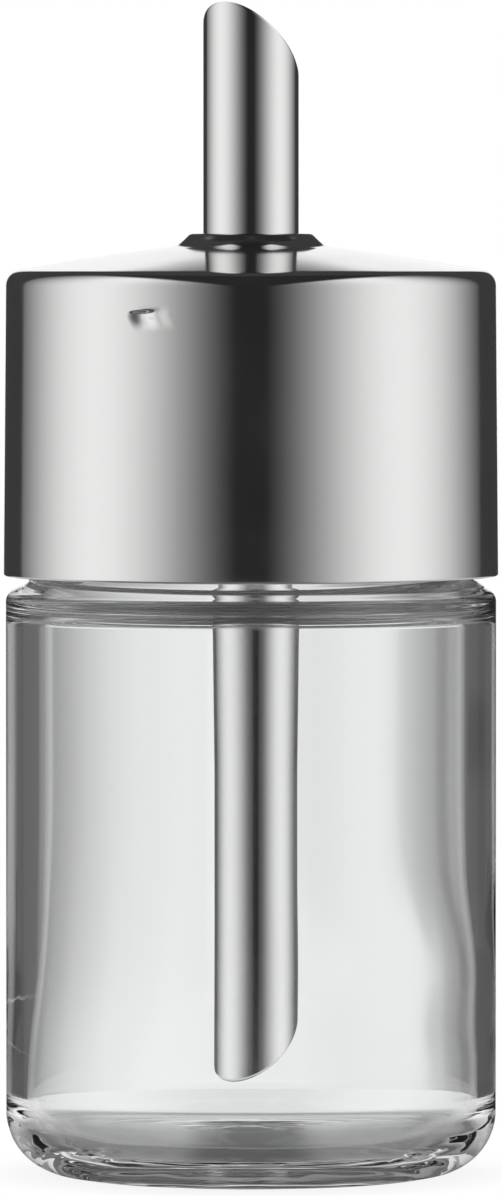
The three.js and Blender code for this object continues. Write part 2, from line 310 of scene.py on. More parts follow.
def makePolishedSteel():
    material, tree, shader = newMaterial("polishedSteel", steelLook["colour"], Metallic=1.0)
    smudge = mottle(tree, places(tree), steelLook["smudgeScale"], detail=4.0, roughness=0.6)
    roughened(tree, shader, smudge, steelLook["roughness"])
    across = steelLook["grainPerMetre"]
    along = across * steelLook["alongShare"]
    grain = mottle(tree, stretched(tree, (along, along, across)), 1.0, detail=2.0)
    bumped(tree, shader, grain, steelLook["grainDepth"], steelLook["bumpStrength"])
    return material


brushedLook = {
    "colour": (0.62, 0.62, 0.61),
    "roughness": (0.22, 0.36),
    "grainPerMetre": 9000,
    "alongShare": 0.06,
    "grainDepth": 0.000003,
    "bumpStrength": 0.4,
}


def makePlainSteel():
    material, tree, shader = newMaterial("plainSteel", brushedLook["colour"], Metallic=1.0)
    across = brushedLook["grainPerMetre"]
    grain = mottle(tree, stretched(tree, (across * brushedLook["alongShare"], across, across)), 1.0)
    roughened(tree, shader, grain, brushedLook["roughness"])
    bumped(tree, shader, grain, brushedLook["grainDepth"], brushedLook["bumpStrength"])
    return material


glassLook = {
    "colour": (0.985, 0.992, 0.99),
    "ior": 1.5,
    "waveScale": 70,  # faint waves of a fire-polished surface
    "waveStretch": (1, 1, 0.35),
    "waveDepth": 0.0000015,
    "bumpStrength": 0.5,
}


def makeGlass():
    material, tree, shader = newMaterial(
        "clearGlass", glassLook["colour"], Roughness=0.0, IOR=glassLook["ior"], Transmission_Weight=1.0
    )
    wave = mottle(tree, stretched(tree, glassLook["waveStretch"]), glassLook["waveScale"], detail=2.0)
    bumped(tree, shader, wave, glassLook["waveDepth"], glassLook["bumpStrength"])
    return material


def makePlastic(name, look):
    material, tree, shader = newMaterial(name, look["colour"], Subsurface_Weight=look["subsurface"])
    shader.inputs["Subsurface Radius"].default_value = look["bleed"]
    roughened(tree, shader, mottle(tree, places(tree), look["cloudScale"]), look["roughness"])
    pores = mottle(tree, places(tree), look["poreScale"], detail=2.0)
    bumped(tree, shader, pores, look["poreDepth"], look["bumpStrength"])
    return material


insertLook = {
    "colour": (0.74, 0.74, 0.72),
    "roughness": (0.4, 0.55),
    "subsurface": 0.05,
    "bleed": (0.0008, 0.0008, 0.0007),
    "cloudScale": 60,
    "poreScale": 6000,
    "poreDepth": 0.000005,
    "bumpStrength": 0.4,
}
bushLook = {**insertLook, "colour": (0.1, 0.1, 0.105), "roughness": (0.45, 0.6), "subsurface": 0.0}
siliconeLook = {
    **insertLook,
    "colour": (0.72, 0.73, 0.71),
    "roughness": (0.5, 0.65),
    "subsurface": 0.3,
    "bleed": (0.0015, 0.0015, 0.0014),
    "poreScale": 3000,
}

polishedSteel = makePolishedSteel()
plainSteel = makePlainSteel()
clearGlass = makeGlass()
whitePlastic = makePlastic("whitePlastic", insertLook)
greyPlastic = makePlastic("greyPlastic", bushLook)
silicone = makePlastic("siliconeRubber", siliconeLook)
print("materials made")


# Glass jar, pressed and blown: thick floor, screw neck, and an inner wall that is never quite even

jar = {
    "radius": jarTop.x,
    "wall": 0.00424,
    "floor": 0.0041,
    "heelRadius": 0.0078,
    "shoulderHeight": jarTop.z - 0.015,
    "shoulderRounding": 0.0015,
    "shoulderDrop": 0.00255,  # the rounding's centre below the neck's foot
    "shoulderSlope": 24,
    "neckRise": (0.0018, 0.0001, 0.002),  # where the slope turns up: out from the neck and down, then its end
    "puntRadius": 0.019,
    "puntDepth": 0.0007,
    "cavityCorner": 0.003,
    "cavityDrop": 0.0024,
    "neckRadius": 0.0256,
    "neckWall": 0.0031,
    "rimRounding": 0.0011,
    "wallShares": [  # share of the cavity's height, share of the wall's thickness
        (0.85, 1.0), (0.62, 1.0), (0.47, 0.94), (0.37, 0.86), (0.29, 0.762), (0.22, 0.674), (0.155, 0.6),
    ],
    "skinShare": 0.4,  # the outer share of the wall's thickness, which keeps its form
    "floorCorner": 0.0061,
    "floorCornerWall": 0.57,
    "facets": 240,
    "longestStep": 0.0016,
    "threadBottom": 0.0785,
    "threadTurns": 1.6,
    "threadDepth": 0.0011,
    "threadWidth": 0.0011,
    "threadCrest": 0.25,  # share of that width where the thread is full
    "threadFade": 0.12,
    "neckStep": 0.00022,
    "waveDepth": 0.00002,
    "waveStart": 0.012,  # above the floor
    "waveFade": (0.03, 0.045),
    "waveScales": (1.7, 22),  # round the jar, up it
    "waveShift": (3.1, 0.4),
    "streakDepth": 0.00001,
    "streakScales": (9, 9),
    "streakShift": (0.7, 5.2),
    "floorDome": 0.0004,
    "domeFade": (0.004, 0.018),
    "domeHeight": 0.0005,  # only what lies this near the floor rises
    "leanAngle": viewAngle,  # the blown cavity stands a little to one side, most of all low down
    "leanStops": [
        (0.0046, 0.0), (0.009, 0.00009), (0.0165, 0.00014),
        (0.0275, 0.00062), (0.039, 0.00025), (0.07, 0.00025),
    ],
    "farLeanStops": [  # the thicker side bulges in less than the other is hollowed
        (0.0046, 0.0), (0.009, 0.00009), (0.0165, 0.00014),
        (0.0275, 0.00026), (0.039, 0.00026), (0.07, 0.00025),
    ],
    "rippleDepth": 0.0001,  # pressing marks round the heel and under the floor
    "rippleScales": (3.0, 900),
    "rippleStart": (0.002, 0.008),  # out from the axis
    "rippleEnd": 0.0055,  # up the heel, where they start to fade
}


def threadRidge(z, angle):
    # height of the neck's screw thread at this point, 0 to 1
    along = (z - jar["threadBottom"]) / threadLead - angle / tau
    turn = round(along)
    place = turn + angle / tau
    if place < 0 or place > jar["threadTurns"]:
        return 0
    away = abs(along - turn) * threadLead
    fade = easeStep(min(place, jar["threadTurns"] - place), 0, jar["threadFade"])
    return fade * (1 - easeStep(away, jar["threadWidth"] * jar["threadCrest"], jar["threadWidth"]))


def jarOutline():
    radius, neckRadius, shoulderZ, floorZ = (
        jar[key] for key in ("radius", "neckRadius", "shoulderHeight", "floor")
    )
    heel, shoulder, corner = jar["heelRadius"], jar["shoulderRounding"], jar["cavityCorner"]
    rim, lip = jar["rimRounding"], jar["rimRounding"] / 2
    bore = neckRadius - jar["neckWall"]
    cavityRadius, cavityTop = radius - jar["wall"], shoulderZ - jar["cavityDrop"]
    outward, drop, rise = jar["neckRise"]
    neckFoot = (neckRadius, shoulderZ + rise)
    punt = [(0, jar["puntDepth"]), (jar["puntRadius"] / 2, jar["puntDepth"]), (jar["puntRadius"], 0)]
    centre = (radius - shoulder, shoulderZ - jar["shoulderDrop"])
    rounding = arc(centre, shoulder, 0, 90 - jar["shoulderSlope"], steps=12)
    outside = outlineOf(
        bend(punt, steps=14),
        arc((radius - heel, heel), heel, -90, 0, steps=44),
        rounding,
        bend([rounding[-1], (neckRadius + outward, shoulderZ - drop), neckFoot], steps=14),
        longest=jar["longestStep"],
    )
    neck = outlineOf([neckFoot, (neckRadius, jarTop.z - rim)], longest=jar["neckStep"])
    mouth = outlineOf(
        arc((neckRadius - rim, jarTop.z - rim), rim, 0, 90, steps=8),
        arc((bore + lip, jarTop.z - lip), lip, 90, 180, steps=5),
        arc((bore + lip, cavityTop + lip), lip, 180, 270, steps=5),
        arc((cavityRadius - corner, cavityTop - corner), corner, 90, 0, steps=12),
        longest=jar["longestStep"],
    )
    wall = [
        (radius - jar["wall"] * thickness, floorZ + (cavityTop - floorZ) * share)
        for share, thickness in jar["wallShares"]
    ]
    floorCorner = jar["floorCorner"]
    cornerRadius = radius - jar["wall"] * jar["floorCornerWall"]
    floor = bend([
        (cornerRadius, floorZ + floorCorner), (cornerRadius, floorZ), (cornerRadius - floorCorner, floorZ),
    ], steps=30)
    inside = outlineOf(
        [mouth[-1]], smoothThrough([mouth[-1], *wall, floor[0]], steps=12), floor, [(0, floorZ)],
        longest=jar["longestStep"],
    )
    return outlineOf(outside, neck, mouth, inside)


def unevenness(around, height, scales, shift=(0, 0)):
    # between -1 and 1, round the jar and up it
    return noise.noise(around * scales[0] + Vector((*shift, height * scales[1])))


def heelShape(r, z, around):
    # pressing marks, long round the jar and narrow across, on the heel and the underside
    mark = 0.5 + 0.5 * unevenness(around, z - r, jar["rippleScales"])
    fade = easeStep(r, *jar["rippleStart"]) * (1 - easeStep(z, jar["rippleEnd"], jar["heelRadius"]))
    inward = jar["rippleDepth"] * mark * fade
    slope = easeStep(z, 0, jar["heelRadius"])
    return r - inward * slope, z + inward * (1 - slope)


def cavityShape(r, z, angle, around):
    floorZ = jar["floor"]
    side = easeStep(z, floorZ, floorZ + jar["waveStart"]) * (1 - easeStep(z, *jar["waveFade"]))
    wave = unevenness(around, z, jar["waveScales"], jar["waveShift"])
    streak = unevenness(around, z, jar["streakScales"], jar["streakShift"])
    swell = side * (jar["waveDepth"] * wave + jar["streakDepth"] * streak)
    dome = jar["floorDome"] * (1 - easeStep(r, *jar["domeFade"]))
    rise = dome if z < floorZ + jar["domeHeight"] else 0
    leaning = math.cos(angle - jar["leanAngle"])
    lean = easedBetween(jar["leanStops" if leaning > 0 else "farLeanStops"], z) * leaning * abs(leaning)
    return r + swell + lean, z + rise


def jarShape(r, z, angle):
    if z > jar["shoulderHeight"] and abs(r - jar["neckRadius"]) < hair:
        return r + jar["threadDepth"] * threadRidge(z, angle), z
    around = Vector((math.cos(angle), math.sin(angle), 0))
    inCavity = r < jar["radius"] - jar["wall"] * jar["skinShare"]
    if inCavity and jar["floor"] - hair <= z <= jar["shoulderHeight"]:
        return cavityShape(r, z, angle, around)
    return (r, z) if z > jar["heelRadius"] else heelShape(r, z, around)


glassJar = turned("glassJar", jarOutline(), evenAngles(jar["facets"]), jarShape)
finishPiece(glassJar, "jar", clearGlass, ["glass_jar"])
print("glass jar made")


# Silicone ring between the neck's rim and the insert

ring = {"rounding": 0.0005, "bore": 0.0225, "facets": 160, "cornerSteps": 5}


def ringOutline():
    rounding = ring["rounding"]
    outer, inner = ringHigh.x - rounding, ring["bore"] + rounding
    low, high = ringLow.z + rounding, ringHigh.z - rounding
    corners = ((outer, low, -90), (outer, high, 0), (inner, high, 90), (inner, low, 180))
    return outlineOf(*(
        arc((r, z), rounding, start, start + 90, ring["cornerSteps"]) for r, z, start in corners
    ))


sealingRing = turned("sealingRing", ringOutline(), evenAngles(ring["facets"]))
finishPiece(sealingRing, "seal", silicone, ["sealing_ring"])
print("sealing ring made")


# Steel cap: drawn skirt with a hem, domed top, conical neck and the pressed dent over the pouring lip

cap = {
    "radius": capHigh.x,
    "bottom": capLow.z,
    "top": capHigh.z,
    "wall": 0.0006,
    "taper": 0.0003,
    "shoulder": capHigh.z - 0.00645,
    "corner": 0.002,
    "domeRise": 0.00285,
    "domeShares": (0.62, 0.71),  # where the dome's curve is drawn to: share of its width, share of its rise
    "footRadius": 0.0091,
    "coneHeight": 0.0016,
    "footFillet": 0.001,
    "edgeRounding": 0.00025,
    "hemWidth": 0.0013,
    "hemHeightShare": 1.6,  # of the wall
    "hemRounding": 0.00028,
    "bore": tubeRadius + 0.0001,
    "facets": 240,
    "skirtStep": 0.001,
}
dent = {
    "azimuth": math.radians(9 - 90),
    "tilt": math.radians(4),
    "height": cap["shoulder"] - 0.00395,
    # a short deep pocket, a long shallow recess and a tiny ledge in it: each has its depth, where it starts
    # and ends along the dent, and its lower and upper edge, in metres from the dent's middle
    "parts": [
        (0.00043, (-0.0025, -0.0007), (-0.0009, 0.0015), (-0.0015, 0.0003), (0.0009, 0.00132)),
        (0.0001, (-0.001, 0.0002), (0.0016, 0.0033), (-0.0016, -0.0001), (0.0006, 0.0019)),
        (0.000007, (-0.0009, -0.0003), (0.0012, 0.0026), (-0.0012, -0.0001), (0.0, 0.00018)),
    ],
    "skew": (0.45, 0.0004),  # how far the pocket leans to the right below this height
    "reach": 0.0042,
    "angleStep": math.radians(0.2),
    "rowStep": 0.00011,
}


def capSurface(inset):
    # from the skirt's bottom to the top of the neck, moved inwards by inset
    corner = cap["corner"] - inset
    width = cap["radius"] - cap["taper"] - cap["corner"] - cap["footRadius"]
    widthShare, riseShare = cap["domeShares"]
    startSlope = cap["domeRise"] * riseShare / (width * widthShare)
    endSlope = cap["domeRise"] * (1 - riseShare) / (width * (1 - widthShare))
    domeStart = cap["footRadius"] + width
    foot = cap["top"] - cap["coneHeight"] - inset
    shift = inset * math.tan(math.pi / 8)
    footRadius = cap["footRadius"] - shift
    lip = cap["footRadius"] - cap["coneHeight"] - shift
    fillet, edge = cap["footFillet"], cap["edgeRounding"]
    topAngle = 90 - math.degrees(math.atan(startSlope))
    cornerArc = arc((domeStart, cap["shoulder"]), corner, 0, topAngle, steps=14)
    dome = bend([
        cornerArc[-1],
        (domeStart - width * widthShare, cap["shoulder"] + corner + cap["domeRise"] * riseShare),
        (footRadius + fillet, foot - fillet * endSlope),
    ], steps=30)
    neck = bend([dome[-1], (footRadius, foot), (footRadius - fillet, foot + fillet)], steps=8)
    top = cap["top"] - inset
    rim = bend([(lip + edge, top - edge), (lip, top), (lip - edge, top)], steps=4)
    return cornerArc, dome, neck + rim


def dentedRows(ends):
    # a straight stretch with fine rows where the dent is
    (lowR, lowZ), (highR, highZ) = ends
    marks = [lowZ, dent["height"] - dent["reach"] / 2, dent["height"] + dent["reach"] / 2, highZ]
    stops = [(lowR + (highR - lowR) * (z - lowZ) / (highZ - lowZ), z) for z in marks]
    return outlineOf(
        outlineOf(stops[:2], longest=cap["skirtStep"]),
        outlineOf(stops[1:3], longest=dent["rowStep"]),
        outlineOf(stops[2:], longest=cap["skirtStep"]),
    )


def capOutline():
    outerCorner, outerDome, outerNeck = capSurface(0)
    innerCorner, innerDome, innerNeck = capSurface(cap["wall"])
    low, hem = cap["bottom"], cap["hemRounding"]
    hemInner = cap["radius"] - cap["hemWidth"]
    innerSkirt = (cap["radius"] - cap["wall"], low + cap["wall"] * cap["hemHeightShare"])
    skirt = dentedRows([(cap["radius"], low + hem), outerCorner[0]])
    back = dentedRows([innerSkirt, innerCorner[0]])[::-1]
    boreEdge = cap["edgeRounding"] / 2
    bore = [
        (cap["bore"] + boreEdge, cap["top"]),
        (cap["bore"], cap["top"] - boreEdge),
        (cap["bore"], cap["top"] - cap["wall"]),
    ]
    return outlineOf(
        arc((cap["radius"] - hem, low + hem), hem, -90, 0, steps=6),
        skirt, outerCorner, outerDome, outerNeck, bore,
        innerNeck[::-1], innerDome[::-1], innerCorner[::-1], back,
        arc((hemInner + hem, low + cap["wall"]), hem, 90, 180, steps=5),
        arc((hemInner + hem, low + hem), hem, 180, 270, steps=5),
    )


def dentDepth(angle, z):
    across = (angle - dent["azimuth"] + math.pi) % tau - math.pi
    sideways = across * cap["radius"]
    upwards = z - dent["height"]
    if math.hypot(sideways, upwards) > dent["reach"]:
        return 0
    cosine, sine = math.cos(dent["tilt"]), math.sin(dent["tilt"])
    along = sideways * cosine + upwards * sine
    over = upwards * cosine - sideways * sine
    share, skewStart = dent["skew"]
    along += share * min(over - skewStart, 0)
    return sum(
        depth * easeStep(along, *start) * (1 - easeStep(along, *end))
        * easeStep(over, *lower) * (1 - easeStep(over, *upper))
        for depth, start, end, lower, upper in dent["parts"]
    )


def capShape(r, z, angle):
    onSkirt = cap["bottom"] < z < cap["shoulder"] and r > cap["radius"] - cap["wall"] - cap["taper"] - hair
    return (r - dentDepth(angle, z) if onSkirt else r), z


def capAngles():
    # finer steps round the dent
    half = dent["reach"] / cap["radius"]
    start = dent["azimuth"] - half
    fine = int(2 * half / dent["angleStep"])
    coarse = int((tau - 2 * half) / (tau / cap["facets"]))
    angles = [start + i * 2 * half / fine for i in range(fine)]
    return angles + [start + 2 * half + i * (tau - 2 * half) / coarse for i in range(coarse)]


capShell = turned("capShell", capOutline(), capAngles(), capShape)
finishPiece(capShell, "cap", polishedSteel, ["cap_shell"], sharpAngle=50)
print("steel cap made")


# Moulded insert: body turned here, ribs, webs and the thread made by Geometry Nodes

insert = {
    "bore": 0.0271,
    "skirtWall": 0.0013,
    "flange": 0.0014,
    "ceilingTop": 0.0926,
    "ceiling": 0.0016,
    "plugRadius": 0.0222,
    "plugWall": 0.0012,
    "plugBottom": 0.0867,
    "columnBore": 0.00615,
    "columnWall": 0.0013,
    "rounding": 0.0002,
    "facets": 160,
    "gripCount": 24,
    "gripThickness": 0.001,
    "gripClearance": 0.0003,
    "webCount": 8,
    "webThickness": 0.0012,
    "threadTurns": 1.5,
    "threadWidth": 0.0014,
    "threadSteps": 96,  # in one turn
    "threadSides": 10,
    "threadFade": 0.08,  # share of its length where it tapers, at each end
    "threadTip": 0.15,  # share of its width that is left at its ends
}


def roundedOutline(corners, rounding):
    # closed outline with small rounded corners
    points = []
    for i, corner in enumerate(corners):
        here = Vector(corner)
        before, after = Vector(corners[i - 1]), Vector(corners[(i + 1) % len(corners)])
        inward = here + (before - here).normalized() * rounding
        outward = here + (after - here).normalized() * rounding
        points += bend([inward, here, outward], steps=3)
    return outlineOf(points)


def insertOutline():
    low = insertLow.z
    flangeTop = low + insert["flange"]
    skirt = insert["bore"] + insert["skirtWall"]
    column = insert["columnBore"] + insert["columnWall"]
    ceilingBottom = insert["ceilingTop"] - insert["ceiling"]
    plugInner = insert["plugRadius"] - insert["plugWall"]
    return roundedOutline([
        (insert["bore"], low),
        (insertHigh.x, low),
        (insertHigh.x, flangeTop),
        (skirt, flangeTop),
        (skirt, insert["ceilingTop"]),
        (column, insert["ceilingTop"]),
        (column, insertHigh.z),
        (insert["columnBore"], insertHigh.z),
        (insert["columnBore"], ceilingBottom),
        (plugInner, ceilingBottom),
        (plugInner, insert["plugBottom"]),
        (insert["plugRadius"], insert["plugBottom"]),
        (insert["plugRadius"], ceilingBottom),
        (insert["bore"], ceilingBottom),
    ], insert["rounding"])


def newTree(name, inputs):
    tree = bpy.data.node_groups.new(name, "GeometryNodeTree")
    tree.interface.new_socket("Geometry", in_out="INPUT", socket_type="NodeSocketGeometry")
    for label, kind in inputs.items():
        tree.interface.new_socket(label, in_out="INPUT", socket_type="NodeSocket" + kind)
    tree.interface.new_socket("Geometry", in_out="OUTPUT", socket_type="NodeSocketGeometry")
    return tree, tree.nodes.new("NodeGroupInput").outputs


def endTree(tree, geometry, material):
    # every tree ends with real geometry and its material
    real = addNode(tree, "GeometryNodeRealizeInstances", {"Geometry": geometry})
    painted = addNode(tree, "GeometryNodeSetMaterial", {"Geometry": real, "Material": material})
    join(tree, painted, tree.nodes.new("NodeGroupOutput").inputs[0])


def growFrom(base, tree, values):
    # runs the tree on the base mesh and keeps the result as its plain mesh
    modifier = base.modifiers.new(tree.name, "NODES")
    modifier.node_group = tree
    for item in tree.interface.items_tree:
        if item.in_out == "INPUT" and item.name in values:
            modifier[item.identifier] = values[item.name]
    settle(base)


def ringOfCopiesTree(name, material):
    # turns copies of the input mesh about Z
    tree, given = newTree(name, {"Copies": "Int", "First Angle": "Float"})
    step = calc(tree, "DIVIDE", tau, given["Copies"])
    index = addNode(tree, "GeometryNodeInputIndex", {})
    angle = calc(tree, "MULTIPLY_ADD", index, step, given["First Angle"])
    copies = addNode(tree, "GeometryNodeInstanceOnPoints", {
        "Points": addNode(tree, "GeometryNodePoints", {"Count": given["Copies"]}),
        "Instance": given["Geometry"],
        "Rotation": xyz(tree, 0.0, 0.0, angle),
    })
    endTree(tree, copies, material)
    return tree


def extrudedPlate(name, corners, thickness, bevel):
    # flat rib in the XZ plane, with its thickness along Y and rounded edges
    half = thickness / 2
    count = len(corners)
    vertices = [(x, -half, z) for x, z in corners] + [(x, half, z) for x, z in corners]
    sides = [(i, (i + 1) % count, count + (i + 1) % count, count + i) for i in range(count)]
    faces = [tuple(range(count)), tuple(range(2 * count - 1, count - 1, -1)), *sides]
    plate = meshObject(name, vertices, faces)
    edit = bmesh.new()
    edit.from_mesh(plate.data)
    bmesh.ops.recalc_face_normals(edit, faces=edit.faces)
    bmesh.ops.bevel(edit, geom=edit.edges[:], offset=bevel, segments=2, affect="EDGES", clamp_overlap=True)
    edit.to_mesh(plate.data)
    edit.free()
    return plate


def makeRibs(name, treeName, corners, thickness, count, firstAngle):
    ribs = extrudedPlate(name, corners, thickness, insert["rounding"])
    growFrom(ribs, ringOfCopiesTree(treeName, whitePlastic), {"Copies": count, "First Angle": firstAngle})
    finishPiece(ribs, "cap", whitePlastic)


threadInsert = turned("threadInsert", insertOutline(), evenAngles(insert["facets"]))
finishPiece(threadInsert, "cap", whitePlastic, ["thread_insert"])

skirtMiddle = insert["bore"] + insert["skirtWall"] / 2
gripReach = cap["radius"] - cap["wall"] - cap["taper"] - insert["gripClearance"]
makeRibs("gripRibs", "gripRibRing", [
    (skirtMiddle, insertLow.z + insert["flange"] / 2),
    (gripReach, insertLow.z + insert["flange"] / 2),
    (gripReach, insert["ceilingTop"]),
    (skirtMiddle, insert["ceilingTop"]),
], insert["gripThickness"], insert["gripCount"], math.pi / insert["gripCount"])

webInner = insert["columnBore"] + insert["columnWall"] / 2
webFoot = insert["ceilingTop"] - insert["ceiling"] / 2
makeRibs("columnWebs", "webRing", [
    (webInner, webFoot),
    (insert["bore"], webFoot),
    (insert["bore"], insert["ceilingTop"] + insert["ceiling"] / 2),
    (webInner, insertHigh.z - insert["columnWall"]),
], insert["webThickness"], insert["webCount"], 0.0)


def threadTree(material):
    # a tapered ridge swept along a helix
    tree, given = newTree("insertThreadHelix", {
        "Radius": "Float", "Lead": "Float", "Turns": "Float", "Bottom": "Float", "Width": "Float",
    })
    helix = addNode(tree, "GeometryNodeCurveSpiral", {
        "Resolution": insert["threadSteps"],
        "Rotations": given["Turns"],
        "Start Radius": given["Radius"],
        "End Radius": given["Radius"],
        "Height": product(tree, given["Turns"], given["Lead"]),
    })
    lifted = addNode(tree, "GeometryNodeTransform", {
        "Geometry": helix, "Translation": xyz(tree, 0.0, 0.0, given["Bottom"]),
    })
    along = tree.nodes.new("GeometryNodeSplineParameter").outputs["Factor"]
    fromEnd = calc(tree, "MINIMUM", along, calc(tree, "SUBTRACT", 1.0, along))
    section = addNode(tree, "GeometryNodeCurvePrimitiveCircle", {
        "Resolution": insert["threadSides"], "Radius": product(tree, given["Width"], 0.5),
    })
    swept = addNode(tree, "GeometryNodeCurveToMesh", {
        "Curve": lifted,
        "Profile Curve": section,
        "Scale": mapped(tree, fromEnd, 0.0, insert["threadFade"], insert["threadTip"], 1.0),
        "Fill Caps": True,
    })
    endTree(tree, swept, material)
    return tree


insertThread = meshObject("insertThread", [(0, 0, 0)], [])
growFrom(insertThread, threadTree(whitePlastic), {
    "Radius": insert["bore"],
    "Lead": threadLead,
    "Turns": insert["threadTurns"],
    "Bottom": jar["threadBottom"] - threadLead / 2,
    "Width": insert["threadWidth"],
})
finishPiece(insertThread, "cap", whitePlastic, sharpAngle=60)
print("insert made")


# Dosing tube, made by Geometry Nodes from its rule:
# a grid rolled into a tapered wall and cut on the slant at both ends

tubeFoot = 0.00513  # radius at the lower end
tubeAside = 0.00055  # how far it stands off the axis below the cap
tube = {
    "Radius": tubeRadius,
    "Foot Radius": tubeFoot,
    "Wall": 0.0006,
    "Taper Top": 0.112,
    "Taper Bottom": 0.050,
    "Bead Height": 0.1076,
    "Bead Depth": beadDepth,
    "Bead Width": 0.0006,
    "Mouth Height": tubeHigh.z - tubeRadius,
    "Foot Height": tubeLow.z + tubeFoot,
    "Slant Length": 0.024,
    "Side X": tubeAside * math.cos(viewAngle),
    "Side Y": tubeAside * math.sin(viewAngle),
    "Side Top": 0.087,
    "Side Bottom": 0.075,
    "Facets": 112,
    "Rows": 260,
}
tubeEdges = {"width": 0.00009, "segments": 2, "angle": math.radians(32)}


def tubeTree(material):
    kinds = {key: "Int" if key in ("Facets", "Rows") else "Float" for key in tube}
    tree, given = newTree("dosingTubeWall", kinds)
    rows = given["Rows"]
    doubleRows = product(tree, rows, 2.0)
    grid = addNode(tree, "GeometryNodeMeshGrid", {
        "Size X": 1.0,
        "Size Y": 1.0,
        "Vertices X": calc(tree, "ADD", given["Facets"], 1.0),
        "Vertices Y": calc(tree, "ADD", doubleRows, 1.0),
    })
    gridX, gridY, _ = partsOf(tree, addNode(tree, "GeometryNodeInputPosition", {}))
    angle = product(tree, gridX, tau)
    row = product(tree, calc(tree, "ADD", gridY, 0.5), doubleRows)
    # rows climb the outside, then come down the inside, and the last row is the first again
    lastRow = calc(tree, "SUBTRACT", doubleRows, 1.0)
    nearest = calc(tree, "MINIMUM", row, calc(tree, "SUBTRACT", lastRow, row))
    climb = calc(tree, "MAXIMUM", calc(tree, "DIVIDE", nearest, calc(tree, "SUBTRACT", rows, 1.0)), 0.0)
    above = calc(tree, "GREATER_THAN", row, calc(tree, "SUBTRACT", rows, 0.5))
    before = calc(tree, "LESS_THAN", row, calc(tree, "SUBTRACT", doubleRows, 0.5))
    inside = product(tree, above, before)
    height = mapped(tree, climb, 0.0, 1.0, given["Foot Height"], given["Mouth Height"], "LINEAR")
    taperEnds = [given[key] for key in ("Taper Bottom", "Taper Top", "Foot Radius", "Radius")]
    taper = mapped(tree, height, *taperEnds, "LINEAR")
    fromBead = calc(tree, "DIVIDE", calc(tree, "SUBTRACT", height, given["Bead Height"]), given["Bead Width"])
    bead = calc(tree, "EXPONENT", product(tree, fromBead, fromBead, -1.0))
    outer = calc(tree, "MULTIPLY_ADD", bead, given["Bead Depth"], taper)
    radius = calc(tree, "SUBTRACT", outer, product(tree, inside, given["Wall"]))
    x = product(tree, radius, calc(tree, "COSINE", angle))
    y = product(tree, radius, calc(tree, "SINE", angle))
    mouthStart = calc(tree, "SUBTRACT", given["Mouth Height"], given["Slant Length"])
    footEnd = calc(tree, "ADD", given["Foot Height"], given["Slant Length"])
    mouthSlant = mapped(tree, height, mouthStart, given["Mouth Height"])
    footSlant = mapped(tree, height, footEnd, given["Foot Height"])
    slant = product(tree, y, calc(tree, "SUBTRACT", footSlant, mouthSlant))
    aside = faded(tree, height, (given["Side Bottom"], given["Side Top"]))
    x = calc(tree, "MULTIPLY_ADD", aside, given["Side X"], x)
    y = calc(tree, "MULTIPLY_ADD", aside, given["Side Y"], y)
    shaped = addNode(tree, "GeometryNodeSetPosition", {
        "Geometry": grid, "Position": xyz(tree, x, y, calc(tree, "ADD", height, slant)),
    })
    closed = addNode(tree, "GeometryNodeMergeByDistance", {"Geometry": shaped, "Distance": hair})
    endTree(tree, closed, material)
    return tree


def easeEdges(piece, edges):
    # rounds the sharp edges of a finished mesh
    bevel = piece.modifiers.new("easedEdges", "BEVEL")
    bevel.width = edges["width"]
    bevel.segments = edges["segments"]
    bevel.limit_method = "ANGLE"
    bevel.angle_limit = edges["angle"]
    settle(piece)


spoutTube = meshObject("spoutTube", [(0, 0, 0)], [])
growFrom(spoutTube, tubeTree(polishedSteel), tube)
easeEdges(spoutTube, tubeEdges)
finishPiece(spoutTube, "cap", polishedSteel, ["spout_tube"], sharpAngle=50)
print("dosing tube made")


# Hinge pin, and the bush that keeps its CAD shape

pin = {
    "radius": (pinHigh.z - pinLow.z) / 2,
    "crown": 0.00024,
    "flatShare": 0.8,  # of the radius, where the end starts to round
    "inset": 0.00005,
    "facets": 40,
}


def makePin():
    length, radius = pinHigh.x - pinLow.x, pin["radius"]
    end = bend([
        (0, length / 2), (radius * pin["flatShare"], length / 2), (radius, length / 2 - pin["crown"]),
    ], steps=6)
    outline = outlineOf(end, [(r, -z) for r, z in reversed(end)])
    rod = turned("hingePin", outline, evenAngles(pin["facets"]))
    for vertex in rod.data.vertices:
        x, y, z = vertex.co
        # the ends are ground flush with the round tube
        reach = math.sqrt((tubeRadius - pin["inset"]) ** 2 - (y + hinge.y) ** 2)
        vertex.co = (min(max(z, -reach), reach), y + hinge.y, -x + hinge.z)
    return rod


hingePin = makePin()
finishPiece(hingePin, "cap", plainSteel, ["hinge_pin"])
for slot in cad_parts["neck_bush"].material_slots:
    slot.material = greyPlastic
print("pin made and bush dressed")


# Flap: an oval plate with a barrel curled round the pin and a stop tab, cut from one sheet.
# Its own plane has "along" from the pin towards the pouring lip and "out" of the tube's mouth.

flap = {
    "thickness": 0.00035,
    "clearance": 0.0003,
    "recess": 0.0005,  # from the mouth's plane to the plate
    "pinGap": 0.00008,
    "cut": math.radians(45),
    "swing": math.radians(35),
    "swingSteps": 14,
    "stations": 44,
    "curlEnd": math.radians(370),
    "curlSteps": 30,
    "chamfer": 0.00006,
    "tabHalfWidth": 0.0011,
    "tabRounding": 0.00044,
    "tabSteps": 6,
    "tabOverlap": 0.0005,
    "tabMargin": math.radians(3.5),
}
tubeBore = tubeRadius - tube["Wall"]
flapRoom = tubeBore - flap["clearance"]
barrelRadius = pin["radius"] + flap["pinGap"] + flap["thickness"]


